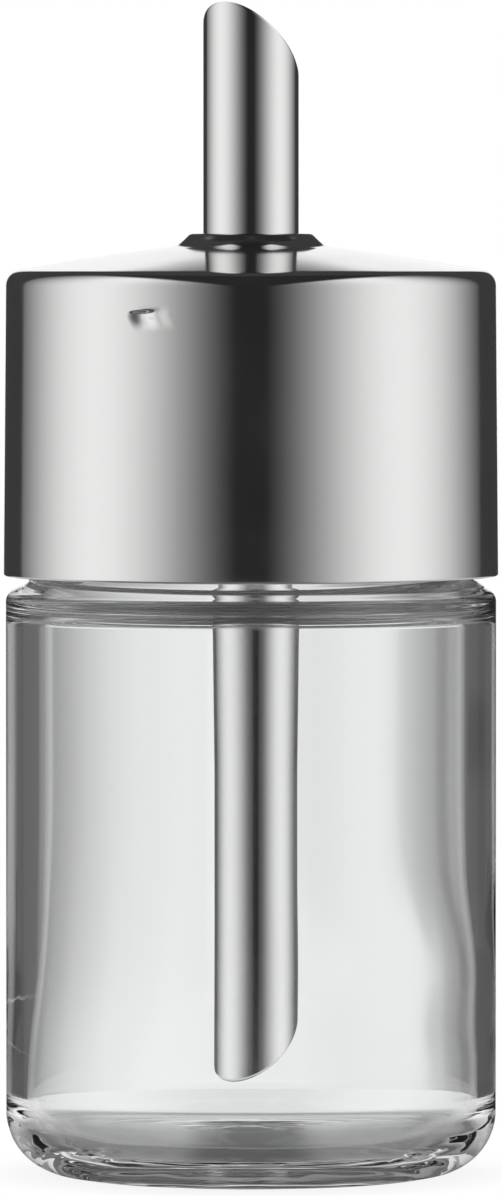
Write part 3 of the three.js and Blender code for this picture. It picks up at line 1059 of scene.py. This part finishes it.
def plateHalf(along):
    # widest half of the plate that clears the bore at every angle of the swing
    half = flapRoom
    for i in range(flap["swingSteps"] + 1):
        swing = flap["swing"] * i / flap["swingSteps"]
        lean = flap["cut"] + swing
        for out in (barrelRadius - flap["thickness"], barrelRadius):
            y = hinge.y - along * math.cos(lean) + out * math.sin(lean)
            depth = along * math.sin(swing) + out * math.cos(swing)
            if depth < flap["recess"] + barrelRadius:
                half = min(half, math.sqrt(max(flapRoom ** 2 - y ** 2, 0)))
    return half


def sheetStrip(name, stations):
    # stations are (along, out, half width, direction of the sheet), swept with chamfered edges
    vertices, faces = [], []
    c = flap["chamfer"]
    t = flap["thickness"] / 2
    for along, out, half, heading in stations:
        loop = [(half - c, t), (half, t - c), (half, c - t), (half - c, -t)]
        loop += [(-across, off) for across, off in reversed(loop)]
        for across, off in loop:
            a = along - off * math.sin(heading)
            o = out + off * math.cos(heading)
            vertices.append((
                across,
                hinge.y + math.cos(flap["cut"]) * (o - a),
                hinge.z + math.sin(flap["cut"]) * (o + a),
            ))
    count = len(loop)
    for row in range(len(stations) - 1):
        for i in range(count):
            j = (i + 1) % count
            faces.append((row * count + i, row * count + j, (row + 1) * count + j, (row + 1) * count + i))
    last = (len(stations) - 1) * count
    faces += [tuple(range(count)), tuple(range(last + count - 1, last - 1, -1))]
    return meshObject(name, vertices, faces)


def makePlate():
    # from the tip back to the pin, then once round it
    middle = barrelRadius - flap["thickness"] / 2
    lowFace = barrelRadius - flap["thickness"]
    length = (hinge.y + flapRoom + lowFace * math.sin(flap["cut"])) / math.cos(flap["cut"])
    stations = []
    for i in range(flap["stations"], 0, -1):
        along = length * math.sin(math.pi / 2 * i / flap["stations"])
        stations.append((along, middle, max(plateHalf(along), flap["thickness"] / 2), math.pi))
    barrelHalf = math.sqrt(flapRoom ** 2 - (hinge.y + barrelRadius) ** 2)
    for i in range(flap["curlSteps"] + 1):
        turn = math.pi / 2 + (flap["curlEnd"] - math.pi / 2) * i / flap["curlSteps"]
        stations.append((middle * math.cos(turn), middle * math.sin(turn), barrelHalf, turn + math.pi / 2))
    return sheetStrip("spoutFlap", stations)


def makeTab():
    # meets the rim of the mouth's short side when the flap is fully open
    rimY = tubeBore - hinge.y
    rimZ = tube["Mouth Height"] - tubeBore - hinge.z
    reach = math.hypot(rimY, rimZ)
    slack = math.asin(flap["thickness"] / 2 / reach)
    lean = flap["swing"] + math.atan2(rimZ, rimY) + slack + flap["tabMargin"]
    heading = math.pi - flap["cut"] - lean
    rounding = flap["tabRounding"]
    centre = (reach + flap["tabOverlap"] - rounding, flap["tabHalfWidth"] - rounding)
    edge = [(barrelRadius - flap["thickness"] / 2, flap["tabHalfWidth"])]
    edge += arc(centre, rounding, 90, 0, flap["tabSteps"])
    return sheetStrip("stopTab", [
        (at * math.cos(heading), at * math.sin(heading), half, heading) for at, half in edge
    ])


spoutFlap = makePlate()
stopTab = makeTab()
joined = spoutFlap.modifiers.new("tabJoin", "BOOLEAN")
joined.operation = "UNION"
joined.object = stopTab
settle(spoutFlap)
bpy.data.objects.remove(stopTab)
finishPiece(spoutFlap, "flap", plainSteel, ["spout_flap"], sharpAngle=30)
print("flap made")


# Studio: an even white surround, with the soft boxes, cards and flags that the steel and the glass show.
# Angles are in degrees, sizes on the floor in metres, and a level of 1 is white.

cameraSpec = {
    "distance": 1.35,
    "height": 0.124,
    "target": 0.0713,
    "frameHeight": 0.1479,  # height of the photograph at the object's axis
    "sensor": 36,
    "clipEnd": 20,
}
studio = {
    "boxPeak": 1.02,  # brightness of the soft boxes
    "boxPeakAngles": (78, 75),  # where the left and the right box peak, from the camera
    "boxTop": (1.35, 1.9),  # top edge of the boxes: height over distance to the side
    "cardLevel": 0.02,
    "flagStart": (133, 137),
    "flagLevel": 0.045,
    "gapHalf": (5.0, 8.0),  # white gap between the flags, straight behind
    "backTop": (16.5, 19.5),
    "belowStart": (-18, -8),
    "belowLevel": 0.1,  # a dark card on the table, left of the camera
    "belowSides": ((-95, -75), (25, 50)),
    "paleStart": (-15, -9),
    "paleLevel": 0.62,
    "tableReach": 30,  # the table's brightness through the glass: angle from straight behind, level
    "tableCurve": [
        (-30, 0.42), (-26, 0.42), (-22.7, 0.32), (-18.3, 0.36), (-14.9, 0.42), (-9.2, 0.58), (-6.1, 0.71),
        (-3.7, 0.81), (-2, 0.91), (0, 0.95), (2, 0.81), (4.2, 0.79), (6.6, 0.53), (9.1, 0.37), (11.5, 0.3),
        (14.2, 0.2), (17, 0.3), (20, 0.37), (30, 0.42),
    ],
    "tableSide": 0.3,
    "tableSideStart": (45, 80),
    "upperLevel": 0.9,
    "upperStart": (8, 14),
    "innerCard": (6, 12),
    "innerLevel": 0.11,
    "innerFlag": (0.02, 0.1),  # darker low down, left and right
    "innerFlagRise": ((-5.0, -3.4), (-4.3, -2.6)),
    "innerBack": ((9, 19), (5, 13)),
    "innerAbove": 0.25,
    "innerAboveRise": (8, 20),
    "innerBase": 0.17,  # the least that light running steeply in the glass itself shows
    "innerBaseRise": (5.5, 7.5),
    "innerBaseStart": (60, 90),
    "innerBasePasses": 3,  # surfaces that the light has gone through, at most
    "innerMany": 0.35,  # what is left of the bright back after so many reflections in the wall
    "innerManyCount": 3,
    "backShadeRise": (3.0, 4.6),  # dark above the table's far edge, as the jar's floor mirrors it
    "backShadeSide": (0.8, 2.4),
    "backShadeLevel": 0.15,
    "innerBoost": 1.12,
    "floorRadius": 0.1,
    "floorSides": 96,
    "floorDrop": 0.00005,
    "floorWhite": (0.9, 0.9, 0.9, 1),
    # painted shade: within this reach of the axis the floor's glow darkens towards the jar's foot
    "floorShadeFade": (0.027, 0.039),
    "floorShadeLevels": (0.24, 0.85),
    "floorShadow": 0.12,
    "steelFloorShadeFade": (0.07, 0.1),  # the floor as the steel reflects it: painted shade, darker round the foot
    "steelFloorShadeLevels": (0.1, 0.62),
    "tubeShadow": (0.005, 0.0105),  # half width, inner and outer
    "tubeShadowStart": (-0.02, -0.012),  # towards the camera from the axis
    "tubeShadowLevel": 0.42,
    "bounces": 20,
}


def curved(tree, value, points, reach):
    # smooth curve through listed points, given as (value, level)
    node = tree.nodes.new("ShaderNodeFloatCurve")
    curve = node.mapping.curves[0]
    for i, (at, level) in enumerate(points):
        place = ((at + reach) / (2 * reach), level)
        if i < 2:
            curve.points[i].location = place
        else:
            curve.points.new(*place)
    node.mapping.update()
    join(tree, mapped(tree, value, -reach, reach, ease="LINEAR"), node.inputs["Value"])
    return node.outputs[0]


def fromCamera(tree, vector):
    # parts of a place or a direction: away from the axis, towards the camera, to its right, and up
    x, y, z = partsOf(tree, vector)
    cameraX, cameraY = math.sin(viewAngle), -math.cos(viewAngle)
    away = calc(tree, "SQRT", calc(tree, "ADD", product(tree, x, x), product(tree, y, y)))
    towards = calc(tree, "ADD", product(tree, x, cameraX), product(tree, y, cameraY))
    aside = calc(tree, "SUBTRACT", product(tree, y, cameraX), product(tree, x, cameraY))
    return away, towards, aside, z


def atLeast(tree, depth, count):
    return calc(tree, "GREATER_THAN", depth, count - 0.5)  # depths are whole numbers


def atMost(tree, depth, count):
    return calc(tree, "LESS_THAN", depth, count + 0.5)


def readDirection(tree):
    flat, facing, aside, up = fromCamera(tree, tree.nodes.new("ShaderNodeTexCoord").outputs["Generated"])
    degrees = 180 / math.pi
    bearing = product(tree, calc(tree, "ARCTAN2", aside, facing), degrees)
    turn = calc(tree, "ABSOLUTE", bearing)
    inFront = calc(tree, "GREATER_THAN", facing, 0.0)
    side = calc(tree, "ARCSINE", calc(tree, "DIVIDE", aside, calc(tree, "MAXIMUM", flat, hair)))
    return SimpleNamespace(
        bearing=bearing,  # to the camera's right
        turn=turn,
        fromBehind=calc(tree, "SUBTRACT", 180.0, turn),
        onRight=calc(tree, "GREATER_THAN", bearing, 0.0),
        rise=product(tree, calc(tree, "ARCTAN2", up, flat), degrees),
        side=product(tree, side, mixed(tree, inFront, degrees, -degrees)),  # the same before and behind
        steepness=calc(tree, "DIVIDE", up, calc(tree, "MAXIMUM", calc(tree, "ABSOLUTE", aside), hair)),
    )


def softBoxes(tree, way):
    # left and right of the camera
    peak = mixed(tree, way.onRight, *studio["boxPeakAngles"])
    swing = calc(tree, "SINE", product(tree, calc(tree, "DIVIDE", way.turn, peak), math.pi / 2))
    return product(tree, swing, swing, studio["boxPeak"], faded(tree, way.steepness, studio["boxTop"]))


def seenOutside(tree, way, box, flagged):
    level = mixed(tree, flagged, calc(tree, "MAXIMUM", box, studio["cardLevel"]), studio["flagLevel"])
    # white gap between the flags, up to the backdrop's top
    gap = product(
        tree, faded(tree, way.fromBehind, studio["gapHalf"]), faded(tree, way.rise, studio["backTop"])
    )
    level = calc(tree, "MAXIMUM", level, gap)
    # the pale table below, with the dark card on it
    level = mixed(tree, mapped(tree, way.rise, *studio["paleStart"]), studio["paleLevel"], level)
    leftEdge, rightEdge = studio["belowSides"]
    card = product(
        tree, mapped(tree, way.bearing, *leftEdge), faded(tree, way.bearing, rightEdge),
        faded(tree, way.rise, studio["belowStart"]),
    )
    return mixed(tree, card, level, studio["belowLevel"])


def seenThroughGlass(tree, way, table):
    # bright straight behind, dimmer to the sides, the same from the other side
    wide = mapped(tree, calc(tree, "ABSOLUTE", way.side), *studio["tableSideStart"], 0.0, studio["tableSide"])
    level = calc(tree, "ADD", table, wide)
    return mixed(tree, mapped(tree, way.rise, *studio["upperStart"]), level, studio["upperLevel"])


def seenInGlass(tree, way, box, flagged, table, path):
    # what steel inside the glass and the glass walls themselves reflect
    dark = mapped(tree, way.turn, *studio["innerCard"], studio["cardLevel"], studio["innerLevel"])
    flags = [mapped(tree, way.rise, *ends, *studio["innerFlag"]) for ends in studio["innerFlagRise"]]
    level = mixed(tree, flagged, calc(tree, "MAXIMUM", box, dark), mixed(tree, way.onRight, *flags))
    level = product(tree, level, studio["innerBoost"])
    backShade = product(
        tree, mapped(tree, way.rise, *studio["backShadeRise"]),
        faded(tree, calc(tree, "ABSOLUTE", way.side), studio["backShadeSide"]),
    )
    manyTimes = atLeast(tree, path["Glossy Depth"], studio["innerManyCount"])
    mirrored = product(
        tree, table, mixed(tree, backShade, 1.0, studio["backShadeLevel"]),
        mixed(tree, manyTimes, 1.0, studio["innerMany"]),
    )
    besideBack = [mapped(tree, way.fromBehind, *ends) for ends in studio["innerBack"]]
    level = mixed(tree, mixed(tree, way.onRight, *besideBack), mirrored, level)
    steepness = calc(tree, "ABSOLUTE", way.rise)
    above = mapped(tree, steepness, *studio["innerAboveRise"], 0.0, studio["innerAbove"])
    level = calc(tree, "MAXIMUM", level, above)
    base = product(
        tree, atMost(tree, path["Transmission Depth"], studio["innerBasePasses"]),
        mapped(tree, way.fromBehind, *studio["innerBaseStart"], 0.0, studio["innerBase"]),
        mapped(tree, steepness, *studio["innerBaseRise"]),
    )
    return calc(tree, "MAXIMUM", level, base)


def makeWorld():
    world = bpy.data.worlds.new("softStudio")
    bpy.context.scene.world = world
    world.use_nodes = True
    tree = world.node_tree
    background = tree.nodes["Background"]
    background.inputs["Color"].default_value = (1, 1, 1, 1)
    path = tree.nodes.new("ShaderNodeLightPath").outputs
    way = readDirection(tree)
    box = softBoxes(tree, way)
    flagged = mapped(tree, way.turn, *studio["flagStart"])
    table = curved(tree, way.side, studio["tableCurve"], studio["tableReach"])
    outside = seenOutside(tree, way, box, flagged)
    inner = seenInGlass(tree, way, box, flagged, table, path)
    refracted = mixed(tree, atLeast(tree, path["Transmission Depth"], 1), outside, inner)
    reflected = atLeast(tree, path["Glossy Depth"], 1)
    level = mixed(tree, reflected, seenThroughGlass(tree, way, table), refracted)
    level = mixed(tree, path["Is Camera Ray"], level, 1.0)
    join(tree, level, background.inputs["Strength"])


def makeFloor():
    # white for the camera; for the glass and the steel its glow is darker near the jar, a painted shade round
    # the foot, with a painted shadow of the tube
    radius = studio["floorRadius"]
    angles = evenAngles(studio["floorSides"])
    vertices = [(radius * math.cos(a), radius * math.sin(a), -studio["floorDrop"]) for a in angles]
    floor = meshObject("paleFloor", vertices, [tuple(range(len(vertices)))])
    material = bpy.data.materials.new("paleFloorWhite")
    material.use_nodes = True
    tree = material.node_tree
    tree.nodes.clear()
    away, towards, aside, _ = fromCamera(tree, places(tree))
    path = tree.nodes.new("ShaderNodeLightPath").outputs
    # painted shadow of the tube in the floor's glow, as if cast towards the camera by the bright back
    shadow = product(
        tree, faded(tree, calc(tree, "ABSOLUTE", aside), studio["tubeShadow"]),
        mapped(tree, towards, *studio["tubeShadowStart"]), faded(tree, away, studio["floorShadeFade"]),
    )
    # painted shade: the glow is darker round the jar's foot than farther out
    seen = mapped(tree, away, *studio["floorShadeFade"], *studio["floorShadeLevels"])
    seen = product(tree, seen, mixed(tree, shadow, 1.0, studio["tubeShadowLevel"]))
    inSteel = product(
        tree, atLeast(tree, path["Glossy Depth"], 1), atMost(tree, path["Transmission Depth"], 0)
    )
    # painted shade round the foot in the steel's reflections of the floor
    inSteelSeen = mapped(tree, away, *studio["steelFloorShadeFade"], *studio["steelFloorShadeLevels"])
    seen = mixed(tree, inSteel, seen, inSteelSeen)
    strength = mixed(tree, path["Is Camera Ray"], seen, 1.0)
    surface = addNode(tree, "ShaderNodeMixShader", {
        0: mapped(tree, away, *studio["floorShadeFade"], studio["floorShadow"], 0.0),
        1: addNode(tree, "ShaderNodeEmission", {"Color": (1, 1, 1, 1), "Strength": strength}),
        2: addNode(tree, "ShaderNodeBsdfDiffuse", {"Color": studio["floorWhite"]}),
    })
    join(tree, surface, tree.nodes.new("ShaderNodeOutputMaterial").inputs["Surface"])
    floor.data.materials.append(material)


def makeCamera():
    lens = bpy.data.cameras.new("photoLens")
    lens.sensor_width = cameraSpec["sensor"]
    lens.lens = cameraSpec["sensor"] * cameraSpec["distance"] / cameraSpec["frameHeight"]
    lens.clip_end = cameraSpec["clipEnd"]
    camera = linked("photoCamera", lens)
    away = cameraSpec["distance"]
    camera.location = (away * math.sin(viewAngle), -away * math.cos(viewAngle), cameraSpec["height"])
    aim = Vector((0, 0, cameraSpec["target"])) - camera.location
    camera.rotation_euler = aim.to_track_quat("-Z", "Y").to_euler()
    bpy.context.scene.camera = camera


makeWorld()
makeFloor()
makeCamera()
scene = bpy.context.scene
scene.view_settings.view_transform = "Standard"
scene.view_settings.look = "None"
scene.cycles.max_bounces = studio["bounces"]
scene.cycles.glossy_bounces = studio["bounces"]
scene.cycles.transmission_bounces = studio["bounces"]
print("studio made")
